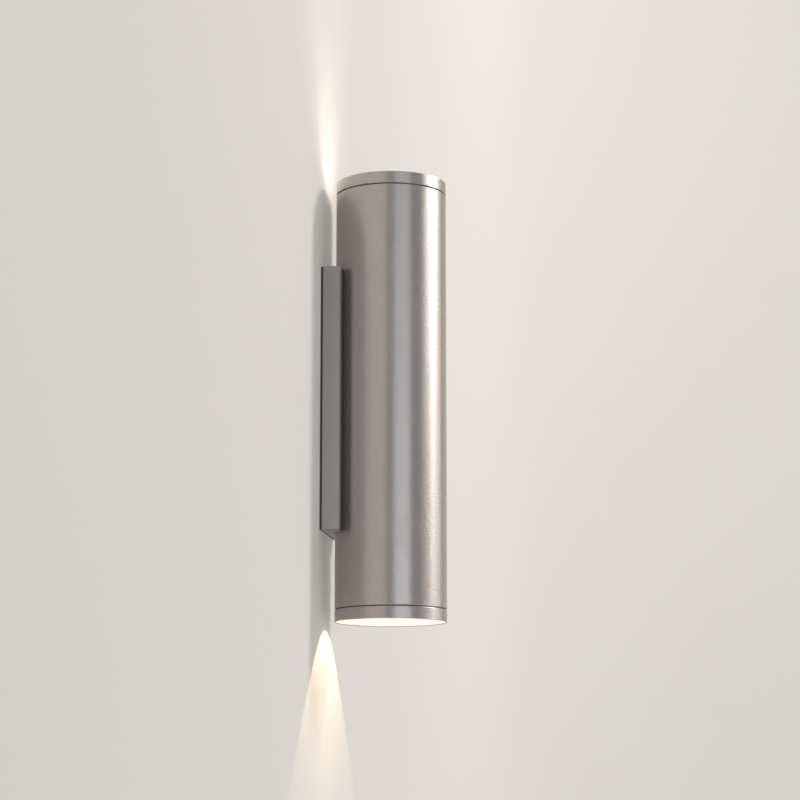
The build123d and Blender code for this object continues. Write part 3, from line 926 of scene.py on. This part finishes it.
@dataclass
class Studio:
    """The wall, floor, lights and camera. None of them belongs to the object."""

    wall_colour: Colour = (0.55, 0.536, 0.514)
    wall_glow: float = 0.36
    glow_span: tuple[float, float] = (-0.3, 0.9)
    glow_dim: float = 0.97
    glow_bright: float = 1.12
    floor_colour: Colour = (0.80, 0.785, 0.76)
    paint_drift: float = 1.7
    paint_grain: float = 420.0
    paint_relief: float = 0.00004
    room_dim: Colour = (0.19, 0.19, 0.19)
    room_bright: Colour = (0.95, 0.94, 0.92)
    room_left: Colour = (0.77, 0.80, 0.83)
    room_right: Colour = (1.02, 1.0, 0.97)
    wall_back: float = 0.0003
    hole: tuple[float, float] = (0.0295, 0.0875)
    left: float = -5.0
    cove_start: float = 1.9
    cove_radius: float = 1.6
    cove_steps: int = 24
    side_reach: float = 5.0
    floor_half: float = 9.0
    floor_lines: int = 7
    floor_height: float = -1.5
    ceiling_height: float = 3.6
    camera_place: tuple[float, float, float] = (-1.525355, -0.235974, -0.271340)
    camera_azimuth: float = 83.035
    camera_tilt: float = 10.091
    camera_lens: float = 103.956
    camera_sensor: float = 36.0
    camera_clip: tuple[float, float] = (0.05, 100.0)
    lights: tuple[SoftLight, ...] = (
        SoftLight("key_light", 27.0, 35.0, 3.8, 12.0, 16.0, 86.0, (1.0, 0.97, 0.93), True),
        SoftLight("low_window_light", 22.3, 8.0, 3.6, 32.5, 12.0, 9.4, (1.0, 0.96, 0.91)),
        SoftLight("high_window_light", 10.0, 28.0, 1.4, 31.0, 20.0, 3.7, (1.0, 0.97, 0.93)),
        SoftLight("cool_light", -59.4, -3.0, 3.4, 34.0, 24.0, 14.9, (0.86, 0.92, 1.0)),
    )
    beams: tuple[Beam, ...] = (
        Beam(End.LOWER, -108.2, 44.3, 0.03, 0.84, (1.0, 0.73, 0.48)),
        Beam(End.LOWER, -108.2, 24.0, 1.0, 0.32),
        Beam(End.UPPER, 50.9, 26.5, 0.3, 0.42, (1.0, 0.76, 0.62)),
        Beam(End.UPPER, 50.9, 24.0, 1.0, 0.7, (1.0, 0.74, 0.62)),
        Beam(End.UPPER, 110.0, 60.0, 1.0, 0.3, (1.0, 0.78, 0.66)),
    )

    def pale(
        self, name: str, colour: Colour, glow: float = 0.0, one_sided: bool = False
    ) -> bpy.types.Material:
        """Painted plaster with a slow drift of tone and a fine roller grain.

        Args:
            name: The material's name.
            colour: The paint.
            glow: Painted light that is added where the surface is seen, straight or in a reflection,
                brighter towards +x.
            one_sided: Whether the surface can't be seen from behind.

        Returns:
            The material.
        """
        made = bpy.data.materials.new(name)
        made.use_nodes = True
        graph = Graph(made.node_tree)
        drift = graph.noise(graph.place(), self.paint_drift, 3.0)
        grain = graph.noise(graph.place(), self.paint_grain, 3.0)
        dark, light = tinted(colour, 0.985, 0.006), tinted(colour, 1.015, -0.004)
        sockets = {
            "Base Color": graph.blended(drift, dark, light),
            "Roughness": 0.85 + (grain - 0.5) * 0.1,
            "Specular IOR Level": 0.25,
            "Normal": graph.bump(grain, self.paint_relief, 0.5),
        }
        paint = graph.surface(sockets)
        if glow:
            camera, glossy, through = (
                graph.node("ShaderNodeLightPath", out=f"Is {kind} Ray")
                for kind in ("Camera", "Glossy", "Transmission")
            )
            seen = graph.math("MAXIMUM", graph.math("MAXIMUM", camera, glossy), through)
            # Painted light: the glow lifts the wall's shade, including the tube's shadow, and grows brighter
            # towards +x.
            along = graph.between(graph.parts(graph.place())[0], *self.glow_span)
            dim, bright = tinted(colour, self.glow_dim), tinted(colour, self.glow_bright)
            painted_glow_colour = graph.blended(along, dim, bright)
            lit = graph.surface({**sockets, "Emission Color": painted_glow_colour, "Emission Strength": glow})
            paint = graph.mixed(seen, paint, lit)
        if one_sided:
            behind = graph.node("ShaderNodeNewGeometry", out="Backfacing")
            paint = graph.mixed(behind, paint, graph.node("ShaderNodeBsdfTransparent"))
        graph.show(paint)
        return made

    def wall(self) -> bpy.types.Object:
        """The wall, open behind the back box, that sweeps round into the room far to the right.

        The path runs along x, then round a quarter circle towards -y, then straight on. Each point of it is
        carried from floor to ceiling.

        Returns:
            The wall.
        """
        wide, tall = self.hole
        turn = np.linspace(0, np.pi / 2, self.cove_steps)[1:]
        straight = np.array([self.left, -wide, wide, self.cove_start])
        round_x = self.cove_start + self.cove_radius * np.sin(turn)
        round_y = self.wall_back - self.cove_radius * (1 - np.cos(turn))
        path_x = np.concatenate([straight, round_x, [self.cove_start + self.cove_radius]])
        path_y = np.concatenate(
            [np.full(len(straight), self.wall_back), round_y, [-self.side_reach]]
        )
        levels = np.array([self.floor_height, -tall, tall, self.ceiling_height])
        points = np.empty((len(levels), len(path_x), 3))
        points[..., 0], points[..., 1] = path_x, path_y
        points[..., 2] = levels[:, None]
        keep = np.ones((len(levels) - 1, len(path_x) - 1), bool)
        keep[1, 1] = False
        made = sheet_mesh("studio_wall", points, (False, False), keep)
        made.data.shade_smooth()
        made.data.materials.append(self.pale("wall_paint", self.wall_colour, self.wall_glow, True))
        return made

    def floor(self) -> bpy.types.Object:
        """A level floor far below the light, as a grid over x and y.

        Returns:
            The floor.
        """
        line = np.linspace(-self.floor_half, self.floor_half, self.floor_lines)
        x, y = np.meshgrid(line, line)
        points = np.stack([x, y, np.full_like(x, self.floor_height)], axis=-1)
        made = sheet_mesh("studio_floor", points, (False, False))
        made.data.materials.append(self.pale("floor_paint", self.floor_colour))
        return made

    def room(self) -> None:
        """The light of the room: dim low down, brighter towards the ceiling, cooler on the left."""
        world = bpy.data.worlds.new("room")
        world.use_nodes = True
        bpy.context.scene.world = world
        graph = Graph(world.node_tree)
        x, _, z = graph.parts(graph.node("ShaderNodeTexCoord", out="Generated"))
        level = graph.blended(graph.between(z, 0.1, 0.85), self.room_dim, self.room_bright)
        tone = graph.blended(graph.between(x, -0.9, 0.9), self.room_left, self.room_right)
        light = graph.blended(1.0, level, tone, "MULTIPLY")
        glow = graph.node("ShaderNodeBackground", None, {"Color": light, "Strength": 1.0})
        graph.node("ShaderNodeOutputWorld", None, {"Surface": glow})

    def camera(self) -> None:
        """The camera at the place and angle that were worked out from the photograph's edges."""
        data = bpy.data.cameras.new("camera")
        data.sensor_width, data.lens = self.camera_sensor, self.camera_lens
        data.clip_start, data.clip_end = self.camera_clip
        made = bpy.data.objects.new("camera", data)
        turn, tilt = math.radians(self.camera_azimuth), math.radians(self.camera_tilt)
        ahead = Vector((math.sin(turn) * math.cos(tilt), math.cos(turn) * math.cos(tilt), math.sin(tilt)))
        made.location = self.camera_place
        made.rotation_euler = ahead.to_track_quat("-Z", "Y").to_euler()
        bpy.context.scene.collection.objects.link(made)
        bpy.context.scene.camera = made

    def build(self) -> None:
        """Makes the whole studio."""
        wall, floor = self.wall(), self.floor()
        lit = bpy.data.collections.new("lit_by_beams")
        lit.objects.link(wall)
        spared = bpy.data.collections.new("spared_by_windows")
        for thing in (wall, floor):
            spared.objects.link(thing)
        for entry in spared.collection_objects:
            entry.light_linking.link_state = "EXCLUDE"
        self.room()
        for light in self.lights:
            light.build(spared)
        for beam in self.beams:
            beam.build(lit)
        self.camera()
        bpy.context.scene.view_settings.view_transform = "Standard"
        LOG.info("the studio is lit by %d lights", len(self.lights) + len(self.beams))


# --- The whole ---


def main() -> None:
    """Builds every sub-assembly in order, then the studio."""
    logging.basicConfig(level=logging.INFO, format="%(message)s")
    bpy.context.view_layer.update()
    book = FinishBook(FINISHES)
    for part in (Body(), BackBox(), Wiring()):
        part.build(book)
    for end in End:
        EndRing(end).build(book)
        Lens(end).build(book)
        LampUnit(end).build(book)
    Studio().build()


if __name__ == "__main__":
    main()
